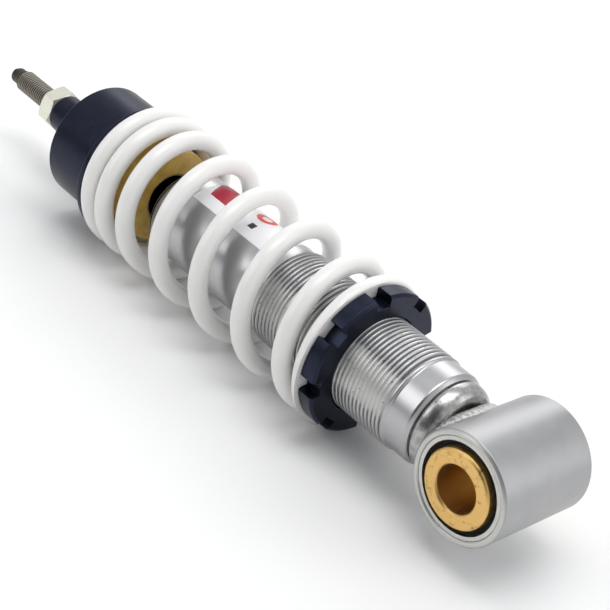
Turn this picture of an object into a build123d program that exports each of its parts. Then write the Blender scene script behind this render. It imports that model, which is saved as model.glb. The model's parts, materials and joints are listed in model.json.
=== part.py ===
from build123d import *
from math import cos, pi, radians, sin
import os

# Coilover shock absorber, lying on its side. Millimetres.
# Origin: centre of the lower eye's bore. +X: along the damper, from the eye to the stud.
# +Y: along the lower eye's bore. +Z: up.
# Every piece is drawn standing on the eye, with the damper along its own Z, and LAID_DOWN
# turns it as it is exported: its Z becomes +X and its X becomes +Z.
# Heights are measured up the damper from the origin.

# Lower eye and its bush, turned about Y
EYE_R = 21.0
EYE_HALF_LENGTH = 23.0
EYE_BORE_R = 18.4
SHELL_BORE_R = 16.8
SHELL_HALF_LENGTH = 22.4
RUBBER_HALF_LENGTH = 21.4
SLEEVE_R = 14.6
SLEEVE_BORE_R = 8.75
SLEEVE_HALF_LENGTH = 24.2
BUSH_GAP = 0.05             # rubber over sleeve, so that the eye can turn on it

# Damper body
NECK_R = 13.5
CAP_END_R = 18.0            # pressed end cap below the tube
CAP_END_BASE = 21.2
TUBE_BASE = 29.0
THREAD_BASE = 41.5
THREAD_TOP = 115.0
TUBE_TOP = 180.6
TUBE_BORE_R = 17.0
TUBE_LOWER_R = 19.2
TUBE_UPPER_R = 19.0
THREAD_R = 20.0             # M40 x 2
THREAD_ROOT_R = 19.1
LABEL_THICKNESS = 0.12
LABEL_SPAN = (121.0, 169.0)
LABEL_ANGLES = (-31.0, 150.0)

# Hydraulics inside the body
CYLINDER_R = 13.5
CYLINDER_BORE_R = 12.0      # 24 mm piston
CYLINDER_SPAN = (42.0, 168.0)
GUIDE_SPAN = (156.0, 172.0)
GUIDE_BUSH_R = 7.5
SEAL_SPAN = (172.0, 177.0)
GLAND_TOP = 184.0
FIT = 0.02                  # radial gap between pieces that are pushed together
SLIDE_GAP = 0.05            # radial running clearance

# Rod, piston and stud
ROD_R = 6.0
ROD_SHOULDER = 262.0        # the cap is clamped against it
STUD_R = 4.93               # M10 crest
STUD_PITCH_R = 4.6          # where the stud and its nut are threaded together
STUD_CHAMFER_BASE = 303.5
STUD_NOSE_R = 3.6
STUD_TIP = 310.3
STUD_FLATS = 5.8            # across the flats on the nose
ROD_TAIL_R = 4.0            # M8 tail that carries the piston
TAIL_TOP = 140.0
TAIL_BASE = 113.0
PISTON_SPAN = (123.0, 134.0)

# Cap and bump stop
CAP_R = 25.75
CAP_TOP = 244.0
CAP_CEILING = 239.0
FLANGE_R = 30.0
SPRING_TOP = 214.0          # underside of the flange
FLANGE_THICKNESS = 2.9
SPIGOT_R = 23.4
SPIGOT_BASE = 207.0
BOSS_R = 8.5
BOSS_TOP = 270.5
CAP_BORE_R = 21.2
STOP_R = 20.9
STOP_TIP = 192.6            # inner edge of the stop's lower face
STOP_TOP = 237.0
STOP_BORE_R = 10.3          # takes the dust cap when the stop is squeezed
STOP_BORE_TOP = 214.0
STOP_ROD_R = 6.3
DUST_CAP_TOP = 189.6
NUT_FLATS = 17.0
NUT_HEIGHT = 8.0
NUT_TURN = 15.0             # degrees from +X to a corner

# Spring and its collar
COLLAR_R = 30.0
COLLAR_BASE = 66.5
SPRING_BASE = 74.0          # top face of the collar
NOTCH_COUNT = 8
NOTCH_WIDTH = 6.8
NOTCH_FLOOR_R = 25.7
NOTCH_START = -7.5          # degrees from +X to the middle of the first notch
WIRE_R = 3.95
COIL_R = 27.8               # to the middle of the wire
# Height of the wire's middle at every half turn: closed, open, then slowly closing again
WIRE_HEIGHTS = (
    71.3, 75.4, 79.6, 88.7, 100.6, 114.0, 127.0, 140.3, 153.3,
    165.9, 177.5, 187.9, 196.0, 201.5, 206.2, 211.0, 215.1,
)
WIRE_HEIGHTS_ANGLE = 129.2  # degrees from +X to the first of them
LOWER_TIP_TURN = 0.08       # turns from the first of them to the wire's lower end
UPPER_TIP_TURN = 7.75
STEPS_PER_TURN = 24


def turned(*outline):
    """A solid turned about Z from a closed outline of (radius, height) points."""
    face = make_face(Polyline(*outline, close=True))
    return revolve(Plane.XZ * face, Axis.Z)


def ring(inner_r, outer_r, base, top):
    """A plain ring about Z."""
    return turned((inner_r, base), (outer_r, base), (outer_r, top), (inner_r, top))


def eye_ring(inner_r, outer_r, half_length, chamfer_in=0.0, chamfer_out=0.0):
    """A ring about Y with a chamfer on each end's inner and outer edge."""
    length = half_length
    outline = [
        (inner_r, -length + chamfer_in),
        (inner_r + chamfer_in, -length),
        (outer_r - chamfer_out, -length),
        (outer_r, -length + chamfer_out),
        (outer_r, length - chamfer_out),
        (outer_r - chamfer_out, length),
        (inner_r + chamfer_in, length),
        (inner_r, length - chamfer_in),
    ]
    corners = [p for i, p in enumerate(outline) if p != outline[i - 1]]
    return revolve(make_face(Polyline(*corners, close=True)), Axis.Y)


def around(tool, count, start=0.0):
    """Copies of a tool, evenly spaced about Z."""
    return [Rot(0, 0, start + 360 / count * i) * tool for i in range(count)]


# --- Lower eye -------------------------------------------------------------

def bush_inner_sleeve():
    return eye_ring(SLEEVE_BORE_R, SLEEVE_R, SLEEVE_HALF_LENGTH, 0.8, 0.8)


def bush_rubber():
    return eye_ring(SLEEVE_R + BUSH_GAP, SHELL_BORE_R, RUBBER_HALF_LENGTH)


def bush_outer_shell():
    return eye_ring(SHELL_BORE_R, EYE_BORE_R, SHELL_HALF_LENGTH, 0.0, 0.4)


def eye_tube():
    return eye_ring(EYE_BORE_R, EYE_R, EYE_HALF_LENGTH, 0.0, 1.0)


def eye_core():
    """The space inside the eye tube's outside, along Y."""
    return Rot(90, 0, 0) * Cylinder(EYE_R + FIT, 2 * EYE_HALF_LENGTH + 20)


def eye_weld():
    """Fillet of weld between the end cap and the eye, saddled on the eye."""
    bead = turned(
        (0, 12.0), (NECK_R + 1.6, 12.0), (NECK_R + 1.6, 19.2),
        (NECK_R + 0.2, CAP_END_BASE), (0, CAP_END_BASE),
    )
    return bead - eye_core()


# --- Damper body -----------------------------------------------------------

def end_cap():
    """Domed steel cap closing the tube, with a spigot inside it."""
    base_r = NECK_R + 0.4
    groove_r = TUBE_BORE_R - 0.2
    shoulder = TUBE_BASE - 1.3
    outside = (
        Line((0, CAP_END_BASE), (base_r, CAP_END_BASE))
        + ThreePointArc((base_r, CAP_END_BASE), (CAP_END_R - 0.9, 24.0), (CAP_END_R, shoulder))
        + Polyline(
            (CAP_END_R, shoulder), (groove_r, shoulder), (groove_r, 36.0),
            (14.0, 36.0), (14.0, 31.0), (0, 31.0), (0, CAP_END_BASE),
        )
    )
    return revolve(Plane.XZ * make_face(outside), Axis.Z)


def body_tube():
    """Reservoir tube. The M40 thread is a plain band at its crest, with a lip at its foot."""
    return turned(
        (TUBE_BORE_R, TUBE_BASE), (TUBE_LOWER_R - 0.8, TUBE_BASE),
        (TUBE_LOWER_R, TUBE_BASE + 0.8), (TUBE_LOWER_R, THREAD_BASE - 1.5),
        (THREAD_R - 0.2, THREAD_BASE - 1.0), (THREAD_R - 0.2, THREAD_BASE),
        (THREAD_ROOT_R, THREAD_BASE), (THREAD_ROOT_R, THREAD_BASE + 0.6),
        (THREAD_R, THREAD_BASE + 1.5), (THREAD_R, THREAD_TOP - 0.9),
        (THREAD_ROOT_R, THREAD_TOP), (TUBE_UPPER_R, THREAD_TOP + 0.1),
        (TUBE_UPPER_R, TUBE_TOP - 0.4), (TUBE_UPPER_R - 0.4, TUBE_TOP),
        (TUBE_BORE_R, TUBE_TOP),
    )


def label():
    """Foil label wrapped part of the way round the tube."""
    low, high = LABEL_SPAN
    start, end = LABEL_ANGLES
    section = make_face(Polyline(
        (TUBE_UPPER_R, low), (TUBE_UPPER_R + LABEL_THICKNESS, low),
        (TUBE_UPPER_R + LABEL_THICKNESS, high), (TUBE_UPPER_R, high), close=True,
    ))
    return Rot(0, 0, start) * revolve(Plane.XZ * section, Axis.Z, end - start)


def inner_cylinder():
    return ring(CYLINDER_BORE_R, CYLINDER_R, *CYLINDER_SPAN)


def base_valve():
    """Foot valve body: a flange under the cylinder, a spigot in it and four feed slots."""
    valve = turned(
        (0, 38.0), (CYLINDER_R, 38.0), (CYLINDER_R, 42.0), (CYLINDER_BORE_R - FIT, 42.0),
        (CYLINDER_BORE_R - FIT, 50.0), (0, 50.0),
    )
    ports = around(Pos(7.5, 0, 44.0) * Cylinder(1.6, 14.0), 4)
    return valve - ports


def base_valve_spacer():
    """Slotted ring that holds the foot valve off the end cap."""
    return ring(11.0, 14.0 - FIT, 31.0, 38.0) - around(Pos(12.5, 0, 33.0) * Box(6, 5, 4.1), 4)


def base_valve_shims():
    """Thin spring discs over the foot valve's ports."""
    return [ring(0.0, 9.8 - 1.3 * i, 50.0 + 0.3 * i, 50.3 + 0.3 * i) for i in range(4)]


def rod_guide():
    """Aluminium guide that closes the cylinder and centres it in the tube."""
    base, top = GUIDE_SPAN
    spigot_r = CYLINDER_BORE_R - FIT
    cylinder_top = CYLINDER_SPAN[1]
    return turned(
        (GUIDE_BUSH_R, base), (spigot_r, base), (spigot_r, cylinder_top),
        (TUBE_BORE_R - FIT, cylinder_top), (TUBE_BORE_R - FIT, top), (GUIDE_BUSH_R, top),
    )


def guide_bush():
    base, top = GUIDE_SPAN
    return ring(ROD_R + SLIDE_GAP, GUIDE_BUSH_R, base + 1.0, top - 1.0)


def oil_seal():
    """Lip seal: a rubber ring with a recess that holds its garter spring."""
    base, top = SEAL_SPAN
    return turned(
        (ROD_R + SLIDE_GAP, base), (7.6, base), (7.6, base + 2.4), (9.4, base + 2.4),
        (9.4, base), (12.0, base), (12.0, top), (ROD_R + SLIDE_GAP, top),
    )


def seal_garter_spring():
    base = SEAL_SPAN[0]
    ring_section = Pos(8.5, base + 1.2) * Circle(0.75)
    return revolve(Plane.XZ * ring_section, Axis.Z)


def gland_o_ring():
    """O-ring between the gland nut and the tube, in the nut's groove."""
    section = Pos(TUBE_BORE_R - 0.9, 175.5) * Circle(0.85)
    return revolve(Plane.XZ * section, Axis.Z)


def gland_nut():
    """Threaded ring that holds the seal and the guide down."""
    base, seal_top = SEAL_SPAN
    groove_r = TUBE_BORE_R - 1.8
    body = turned(
        (12.0 + FIT, base), (TUBE_BORE_R - FIT, base), (TUBE_BORE_R - FIT, 174.6),
        (groove_r, 174.6), (groove_r, 176.4), (TUBE_BORE_R - FIT, 176.4),
        (TUBE_BORE_R - FIT, GLAND_TOP - 0.6), (TUBE_BORE_R - 0.6, GLAND_TOP),
        (9.6, GLAND_TOP), (9.6, GLAND_TOP - 2.6), (8.0, GLAND_TOP - 2.6),
        (8.0, seal_top), (12.0 + FIT, seal_top),
    )
    pin_hole = Pos(13.6, 0, GLAND_TOP) * Cylinder(1.0, 5.0)
    return body - around(pin_hole, 4, 45)


def gland_dust_seal():
    """Rubber ring round the gland nut's neck, on the tube's end."""
    return turned(
        (TUBE_BORE_R, TUBE_TOP), (TUBE_UPPER_R - 0.5, TUBE_TOP), (TUBE_UPPER_R - 0.6, TUBE_TOP + 0.8),
        (TUBE_BORE_R + 0.5, TUBE_TOP + 2.0), (TUBE_BORE_R, TUBE_TOP + 2.0),
    )


def rod_wiper():
    """Domed dust cap with the wiping lip, pushed into the gland nut's mouth."""
    base = GLAND_TOP - 2.6
    return turned(
        (ROD_R + SLIDE_GAP, base), (9.6 - FIT, base), (9.6 - FIT, GLAND_TOP + 4.4),
        (8.8, DUST_CAP_TOP - 0.6), (7.2, DUST_CAP_TOP), (ROD_R + SLIDE_GAP, DUST_CAP_TOP),
    )


# --- Rod, piston, stud -----------------------------------------------------

def piston_rod():
    """Chromed rod: M8 tail for the piston, ground shaft, M10 stud with flats on its nose."""
    rod = turned(
        (0, TAIL_BASE), (ROD_TAIL_R - 0.6, TAIL_BASE), (ROD_TAIL_R, TAIL_BASE + 0.6),
        (ROD_TAIL_R, TAIL_TOP), (ROD_R, TAIL_TOP), (ROD_R, ROD_SHOULDER),
        (STUD_PITCH_R, ROD_SHOULDER), (STUD_PITCH_R, BOSS_TOP + NUT_HEIGHT),
        (STUD_R, BOSS_TOP + NUT_HEIGHT), (STUD_R, STUD_CHAMFER_BASE),
        (STUD_NOSE_R + 0.2, STUD_CHAMFER_BASE + 2.4), (STUD_NOSE_R, STUD_CHAMFER_BASE + 2.8),
        (STUD_NOSE_R, STUD_TIP - 1.0), (STUD_NOSE_R - 0.8, STUD_TIP), (0, STUD_TIP),
    )
    beside_flat = Pos(STUD_FLATS / 2 + 2, 0, STUD_TIP) * Box(4, 10, 7.6)
    return rod - around(beside_flat, 2)


def piston():
    """Sintered piston with a groove for its band and two rings of ports."""
    base, top = PISTON_SPAN
    outer_r = CYLINDER_BORE_R - 0.3
    groove_r = outer_r - 1.2
    body = turned(
        (ROD_TAIL_R + FIT, base), (outer_r, base), (outer_r, base + 2.5), (groove_r, base + 2.5),
        (groove_r, top - 2.5), (outer_r, top - 2.5), (outer_r, top), (ROD_TAIL_R + FIT, top),
    )
    middle = (base + top) / 2
    outer_ports = around(Pos(8.9, 0, middle) * Cylinder(1.0, 20.0), 6)
    inner_ports = around(Pos(6.4, 0, middle) * Cylinder(0.8, 20.0), 6, 30)
    return body - outer_ports - inner_ports


def piston_band():
    base, top = PISTON_SPAN
    return ring(CYLINDER_BORE_R - 1.5, CYLINDER_BORE_R - SLIDE_GAP, base + 2.5, top - 2.5)


def shim_stack(start, step):
    """Four spring discs on the rod's tail, each smaller than the last."""
    discs = []
    for i in range(4):
        low, high = sorted((start + step * i, start + step * (i + 1)))
        discs.append(ring(ROD_TAIL_R + FIT, 9.6 - 1.1 * i, low, high))
    return discs


def rebound_shims():
    return shim_stack(PISTON_SPAN[0], -0.4)


def compression_shims():
    return shim_stack(PISTON_SPAN[1], 0.4)


def shim_washer():
    """Thick washer between the rod's shoulder and the compression shims."""
    return ring(ROD_TAIL_R + FIT, 6.4, PISTON_SPAN[1] + 1.6, TAIL_TOP)


def hexagon(flats, height, base, bore_r, turn=0.0):
    """Hexagon nut with its corners turned down and its bore countersunk at both faces."""
    prism = Rot(0, 0, turn) * extrude(RegularPolygon(flats / 2, 6, major_radius=False), height)
    corner_r = flats / 3 ** 0.5
    drop = 0.14 * (corner_r - flats / 2) + 0.5
    blank = turned(
        (0, 0), (flats / 2 - 0.2, 0), (corner_r + 0.1, drop), (corner_r + 0.1, height - drop),
        (flats / 2 - 0.2, height), (0, height),
    )
    bore = turned(
        (0, -1), (bore_r + 0.8, -1), (bore_r + 0.8, 0), (bore_r, 0.8), (bore_r, height - 0.8),
        (bore_r + 0.8, height), (bore_r + 0.8, height + 1), (0, height + 1),
    )
    return Pos(0, 0, base) * ((prism & blank) - bore)


def piston_nut():
    return hexagon(13.0, 6.4, PISTON_SPAN[0] - 8.0, ROD_TAIL_R + FIT)


def top_out_washer():
    """Steel ring pressed on the rod, under the top-out bumper."""
    return ring(ROD_R + FIT, 9.8, TAIL_TOP + 1.0, TAIL_TOP + 3.0)


def top_out_bumper():
    """Rubber ring that meets the rod guide at full extension."""
    return ring(ROD_R + FIT, 9.2, TAIL_TOP + 3.0, GUIDE_SPAN[0] - 0.3)


# --- Cap, bump stop, nut ----------------------------------------------------

def top_cap():
    """Anodised cap with the spring flange, its spigot and the boss for the stud."""
    body = turned(
        (CAP_BORE_R, SPIGOT_BASE), (SPIGOT_R - 0.8, SPIGOT_BASE), (SPIGOT_R, SPIGOT_BASE + 0.8),
        (SPIGOT_R, SPRING_TOP), (FLANGE_R - 0.4, SPRING_TOP), (FLANGE_R, SPRING_TOP + 0.4),
        (FLANGE_R, SPRING_TOP + FLANGE_THICKNESS - 0.4),
        (FLANGE_R - 0.4, SPRING_TOP + FLANGE_THICKNESS),
        (CAP_R, SPRING_TOP + FLANGE_THICKNESS), (CAP_R, CAP_TOP - 0.7), (CAP_R - 0.7, CAP_TOP),
        (BOSS_R + 1.5, CAP_TOP), (BOSS_R, CAP_TOP + 1.5), (BOSS_R, BOSS_TOP - 0.5),
        (BOSS_R - 0.5, BOSS_TOP), (STUD_R + FIT, BOSS_TOP), (STUD_R + FIT, ROD_SHOULDER),
        (ROD_R + FIT, ROD_SHOULDER), (ROD_R + FIT, CAP_CEILING), (CAP_BORE_R, CAP_CEILING),
    )
    return body


def bump_washer():
    """Steel slip washer between the bump stop and the cap's ceiling."""
    return ring(ROD_R + SLIDE_GAP, 20.0, STOP_TOP, CAP_CEILING - 0.1)


def bump_stop():
    """Amber polyurethane stop that fills the cap and the top coils, bored to clear the dust cap."""
    return turned(
        (STOP_BORE_R, STOP_TIP + 1.2), (STOP_BORE_R + 0.4, STOP_TIP + 0.3),
        (STOP_BORE_R + 1.2, STOP_TIP), (STOP_R - 1.7, STOP_TIP + 1.2),
        (STOP_R - 0.6, STOP_TIP + 1.8), (STOP_R - 0.1, STOP_TIP + 2.8), (STOP_R, STOP_TIP + 4.0),
        (STOP_R, STOP_TOP), (STOP_ROD_R, STOP_TOP), (STOP_ROD_R, STOP_BORE_TOP + 2.0),
        (STOP_BORE_R, STOP_BORE_TOP),
    )


def lock_nut():
    return hexagon(NUT_FLATS, NUT_HEIGHT, BOSS_TOP, STUD_PITCH_R + FIT, NUT_TURN)


# --- Spring and collar -----------------------------------------------------

def preload_collar():
    """Castellated ring nut on the body's thread; a hook spanner turns it."""
    blank = turned(
        (THREAD_R + SLIDE_GAP, COLLAR_BASE + 0.6), (THREAD_R + 0.65, COLLAR_BASE),
        (COLLAR_R - 1.0, COLLAR_BASE), (COLLAR_R, COLLAR_BASE + 1.0),
        (COLLAR_R, SPRING_BASE - 0.5), (COLLAR_R - 0.5, SPRING_BASE),
        (THREAD_R + SLIDE_GAP, SPRING_BASE),
    )
    depth = COLLAR_R - NOTCH_FLOOR_R + 2.0
    middle = (COLLAR_BASE + SPRING_BASE) / 2
    notch = Pos(NOTCH_FLOOR_R + depth / 2, 0, middle) * Box(depth, NOTCH_WIDTH, 12.0)
    return blank - around(notch, NOTCH_COUNT, NOTCH_START)


def wire_height(turn):
    """Height of the wire's middle, eased through WIRE_HEIGHTS. Turns count from its first."""
    i = min(max(int(2 * turn), 0), len(WIRE_HEIGHTS) - 2)
    before = WIRE_HEIGHTS[max(i - 1, 0)]
    low = WIRE_HEIGHTS[i]
    high = WIRE_HEIGHTS[i + 1]
    after = WIRE_HEIGHTS[min(i + 2, len(WIRE_HEIGHTS) - 1)]
    t = 2 * turn - i
    climb_in = (high - before) / 2
    climb_out = (after - low) / 2
    rise = high - low
    bend = 3 * rise - 2 * climb_in - climb_out
    twist = climb_in + climb_out - 2 * rise
    return low + climb_in * t + bend * t ** 2 + twist * t ** 3


def wire_route():
    """Points along the wire's middle, from its lower end to its upper end."""
    turns = UPPER_TIP_TURN - LOWER_TIP_TURN
    count = round(turns * STEPS_PER_TURN)
    points = []
    for i in range(count + 1):
        turn = LOWER_TIP_TURN + turns * i / count
        angle = radians(WIRE_HEIGHTS_ANGLE) + 2 * pi * turn
        points.append((COIL_R * cos(angle), COIL_R * sin(angle), wire_height(turn)))
    return points


def coil_spring():
    """Progressive right-hand compression spring, closed and ground flat at both ends."""
    path = Spline(*wire_route())
    section = Plane(path @ 0, z_dir=path % 0) * Circle(WIRE_R)
    wire = sweep(section, path, is_frenet=True)
    length = SPRING_TOP - SPRING_BASE
    between_faces = Pos(0, 0, SPRING_BASE + length / 2) * Cylinder(40.0, length)
    return wire & between_faces


NODES = (
    bush_inner_sleeve, bush_rubber, bush_outer_shell, eye_tube, eye_weld, end_cap, body_tube,
    label, inner_cylinder, base_valve, base_valve_spacer, base_valve_shims, rod_guide, guide_bush,
    oil_seal, seal_garter_spring, gland_o_ring, gland_nut, gland_dust_seal, rod_wiper,
    piston_rod, piston, piston_band, rebound_shims, compression_shims, shim_washer, piston_nut,
    top_out_washer, top_out_bumper, top_cap, bump_washer, bump_stop, lock_nut, preload_collar,
    coil_spring,
)

LAID_DOWN = Plane(origin=(0, 0, 0), x_dir=(0, 0, 1), z_dir=(1, 0, 0))

os.makedirs("parts", exist_ok=True)
for make in NODES:
    shape = make()
    solids = shape if isinstance(shape, list) else shape.solids()
    laid = [LAID_DOWN * solid for solid in solids]
    export_step(Compound(children=laid), f"parts/{make.__name__}.step")
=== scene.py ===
import json
import math

import bmesh
import bpy
import numpy as np
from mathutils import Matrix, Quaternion, Vector

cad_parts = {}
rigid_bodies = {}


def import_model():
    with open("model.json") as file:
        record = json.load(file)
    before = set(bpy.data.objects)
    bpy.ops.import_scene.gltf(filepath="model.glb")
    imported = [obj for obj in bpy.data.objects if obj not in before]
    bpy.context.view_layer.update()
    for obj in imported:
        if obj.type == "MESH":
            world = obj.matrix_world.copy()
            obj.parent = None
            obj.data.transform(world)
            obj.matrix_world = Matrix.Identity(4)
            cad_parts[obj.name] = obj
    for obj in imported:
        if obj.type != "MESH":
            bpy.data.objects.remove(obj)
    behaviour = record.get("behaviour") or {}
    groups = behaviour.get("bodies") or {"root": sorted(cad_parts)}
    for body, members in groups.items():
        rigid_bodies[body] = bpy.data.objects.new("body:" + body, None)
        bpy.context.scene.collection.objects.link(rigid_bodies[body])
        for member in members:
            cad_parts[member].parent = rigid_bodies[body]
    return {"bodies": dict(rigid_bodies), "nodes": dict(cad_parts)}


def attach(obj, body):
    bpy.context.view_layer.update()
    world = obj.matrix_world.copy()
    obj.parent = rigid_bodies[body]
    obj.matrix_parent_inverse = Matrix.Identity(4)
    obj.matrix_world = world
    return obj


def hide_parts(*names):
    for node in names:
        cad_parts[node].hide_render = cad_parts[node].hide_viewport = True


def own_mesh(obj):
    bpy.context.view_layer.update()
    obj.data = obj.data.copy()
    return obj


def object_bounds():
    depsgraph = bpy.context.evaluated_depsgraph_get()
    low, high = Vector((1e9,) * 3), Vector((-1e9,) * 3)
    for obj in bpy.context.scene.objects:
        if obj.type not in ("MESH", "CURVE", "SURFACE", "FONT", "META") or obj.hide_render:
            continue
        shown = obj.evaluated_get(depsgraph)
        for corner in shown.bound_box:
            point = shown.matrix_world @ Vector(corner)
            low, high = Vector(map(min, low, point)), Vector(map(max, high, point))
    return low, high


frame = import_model()
cad_box = [list(corner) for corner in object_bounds()]

# ---------------------------------------------------------------- camera, floor and light
# The damper lies on a pale studio sweep. The camera stands beyond the eye, above and
# to the left of the damper, and is rolled so that the damper climbs across the frame.
eye_point = Vector((-0.23139, 0.38221, 0.31124))
aim_point = Vector((0.10691, -0.00068, 0.00084))
camera_roll = 14.512
camera_data = bpy.data.cameras.new("camera")
camera_data.sensor_width = 36.0
camera_data.lens = 92.573
camera_data.clip_start = 0.01
camera_data.clip_end = 50.0
camera = bpy.data.objects.new("camera", camera_data)
camera.location = eye_point
camera.rotation_mode = "QUATERNION"
level = (aim_point - eye_point).to_track_quat("-Z", "Y")
camera.rotation_quaternion = level @ Quaternion((0, 0, 1), math.radians(camera_roll))
bpy.context.scene.collection.objects.link(camera)
bpy.context.scene.camera = camera


def linear(hex_colour, alpha=1.0):
    """An sRGB hex colour as the linear red, green, blue and alpha that a shader takes."""
    parts = np.array([int(hex_colour[i:i + 2], 16) for i in (1, 3, 5)]) / 255
    low, high = parts / 12.92, ((parts + 0.055) / 1.055) ** 2.4
    return (*np.where(parts <= 0.04045, low, high).tolist(), alpha)


def add(material, kind, links=None, **settings):
    """Adds a node to a material or world. links joins its inputs to other nodes' outputs.
    settings are inputs' values, by name with _ for a space, or the node's own properties."""
    tree = material.node_tree
    node = tree.nodes.new(kind)
    for name, value in settings.items():
        if hasattr(node, name) and name not in node.inputs:
            setattr(node, name, value)
        else:
            node.inputs[name.replace("_", " ")].default_value = value
    for name, source in (links or {}).items():
        tree.links.new(source, node.inputs[name])
    return node


def new_material(name, **settings):
    """An empty material with one Principled shader, and its coordinates in millimetres."""
    material = bpy.data.materials.new(name)
    material.use_nodes = True
    material.node_tree.nodes.clear()
    shader = add(material, "ShaderNodeBsdfPrincipled", **settings)
    add(material, "ShaderNodeOutputMaterial", {"Surface": shader.outputs[0]})
    place = add(material, "ShaderNodeTexCoord")
    scaled = add(material, "ShaderNodeMapping", {"Vector": place.outputs["Object"]},
                 Scale=(1000, 1000, 1000))
    return material, shader, scaled.outputs[0]


def blend_colours(material, share, first, second, start=0.0, end=1.0):
    """A colour that goes from first to second as share goes from start to end."""
    ramp = add(material, "ShaderNodeValToRGB", {"Fac": share})
    ramp.color_ramp.elements[0].color = linear(first)
    ramp.color_ramp.elements[1].color = linear(second)
    ramp.color_ramp.elements[0].position = start
    ramp.color_ramp.elements[1].position = end
    return ramp


def between(material, share, low, high):
    """A number that goes from low to high as share goes from 0 to 1."""
    return add(material, "ShaderNodeMapRange", {"Value": share}, To_Min=low, To_Max=high)


def join(material, source, node, socket):
    """Links one node's output to another node's input."""
    material.node_tree.links.new(source, node.inputs[socket])


floor_mesh = bpy.data.meshes.new("sweep")
edge = np.array([(-3, -3), (3, -3), (3, 3), (-3, 3)], float)
floor_level = cad_box[0][2] - 0.0002
floor_mesh.from_pydata([(x, y, floor_level) for x, y in edge], [], [(0, 1, 2, 3)])
sweep = bpy.data.objects.new("sweep", floor_mesh)
bpy.context.scene.collection.objects.link(sweep)
# White paper: it throws soft light back up under the damper.
sweep_paper, paper_shader, _ = new_material("white sweep paper", Roughness=0.9)
paper_shader.inputs["Base Color"].default_value = linear("#F6F6F6")
sweep_paper.node_tree.nodes.active = paper_shader
floor_mesh.materials.append(sweep_paper)


def softbox(name, place, size, power, aim=(0.12, 0, 0)):
    """A rectangular studio light that faces the damper."""
    lamp = bpy.data.lights.new(name, "AREA")
    lamp.shape = "RECTANGLE"
    lamp.size, lamp.size_y = size
    lamp.energy = power
    light = bpy.data.objects.new(name, lamp)
    light.location = place
    light.rotation_mode = "QUATERNION"
    light.rotation_quaternion = (Vector(aim) - Vector(place)).to_track_quat("-Z", "Y")
    bpy.context.scene.collection.objects.link(light)


softbox("overhead softbox", (0.08, 0.05, 1.0), (0.8, 0.5), 4.2)
softbox("left softbox", (0.55, 0.75, 0.55), (0.5, 0.6), 2.2)
softbox("right softbox", (-0.65, -0.45, 0.45), (0.4, 0.8), 1.4)
softbox("back softbox", (0.65, -0.70, 0.60), (0.7, 0.5), 2.2, aim=(0.05, 0, 0))

# The room: pale above, with a dark band low down on the damper's left that polished steel
# picks up as one long dark streak. The camera sees only the pale part.
world = bpy.data.worlds.new("studio")
world.use_nodes = True
bpy.context.scene.world = world
world.node_tree.nodes.clear()
direction = add(world, "ShaderNodeTexCoord")
towards_band = add(world, "ShaderNodeVectorMath", {0: direction.outputs["Generated"]},
                   operation="DOT_PRODUCT")
towards_band.inputs[1].default_value = (0.0, 0.94, 0.34)
band = add(world, "ShaderNodeMapRange", {"Value": towards_band.outputs["Value"]},
           From_Min=0.52, From_Max=0.80, interpolation_type="SMOOTHSTEP")
room = blend_colours(world, band.outputs[0], "#F4F5F6", "#3C4046")
seen = add(world, "ShaderNodeLightPath")
backdrop = add(world, "ShaderNodeMix", {"Factor": seen.outputs["Is Camera Ray"],
                                        "A": room.outputs[0]}, data_type="RGBA")
backdrop.inputs["B"].default_value = (1.3, 1.3, 1.3, 1.0)
glow = add(world, "ShaderNodeBackground", {"Color": backdrop.outputs["Result"]}, Strength=0.78)
add(world, "ShaderNodeOutputWorld", {"Surface": glow.outputs[0]})
bpy.context.scene.view_settings.view_transform = "Standard"


# ---------------------------------------------------------------- lower eye: inner sleeve
# A thick steel sleeve, yellow-passivated, that the shock's lower bolt clamps. It stands a
# little proud of the eye at both ends, and its faces are scuffed where the bracket bears.
def rounded(outline, radius=0.3, steps=4):
    """A closed outline with each corner turned into a short arc of the given radius.
    The arc is a quadratic curve from one side to the other, through the corner's control
    point, and a support point just outside each end keeps the flats flat when shaded."""
    corner = np.array(outline, float)
    before = np.roll(corner, 1, 0) - corner
    after = np.roll(corner, -1, 0) - corner
    long_before = np.linalg.norm(before, axis=1, keepdims=True)
    long_after = np.linalg.norm(after, axis=1, keepdims=True)
    reach = np.minimum(radius, 0.42 * np.minimum(long_before, long_after))
    start = corner + before / long_before * reach
    end = corner + after / long_after * reach
    t = np.linspace(0, 1, steps + 1)[None, :, None]
    s, c, e = start[:, None], corner[:, None], end[:, None]
    arc = (1 - t) ** 2 * s + 2 * t * (1 - t) * c + t ** 2 * e
    lead = corner + before / long_before * reach * 1.12
    trail = corner + after / long_after * reach * 1.12
    return np.concatenate([lead[:, None], arc, trail[:, None]], 1).reshape(-1, 2)


def grid_mesh(name, points, close_rows=False, close_columns=True, crease=35):
    """A mesh over a grid of points in millimetres, one quad to a cell, the last row or
    column joined to the first where it is closed. Doubles are merged, faces turned out."""
    rows, columns = points.shape[:2]
    i = np.arange(rows if close_rows else rows - 1)[:, None]
    j = np.arange(columns if close_columns else columns - 1)[None, :]
    k, m = (i + 1) % rows, (j + 1) % columns
    cells = [i * columns + j, k * columns + j, k * columns + m, i * columns + m]
    quads = np.stack(cells, -1).reshape(-1, 4)
    mesh = bpy.data.meshes.new(name)
    mesh.from_pydata((points.reshape(-1, 3) / 1000).tolist(), [], quads.tolist())
    tidy = bmesh.new()
    tidy.from_mesh(mesh)
    bmesh.ops.remove_doubles(tidy, verts=tidy.verts, dist=2e-7)
    bmesh.ops.dissolve_degenerate(tidy, edges=tidy.edges, dist=1e-7)
    bmesh.ops.recalc_face_normals(tidy, faces=tidy.faces)
    tidy.to_mesh(mesh)
    tidy.free()
    mesh.shade_smooth()
    mesh.set_sharp_from_angle(angle=math.radians(crease))
    return mesh


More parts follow.
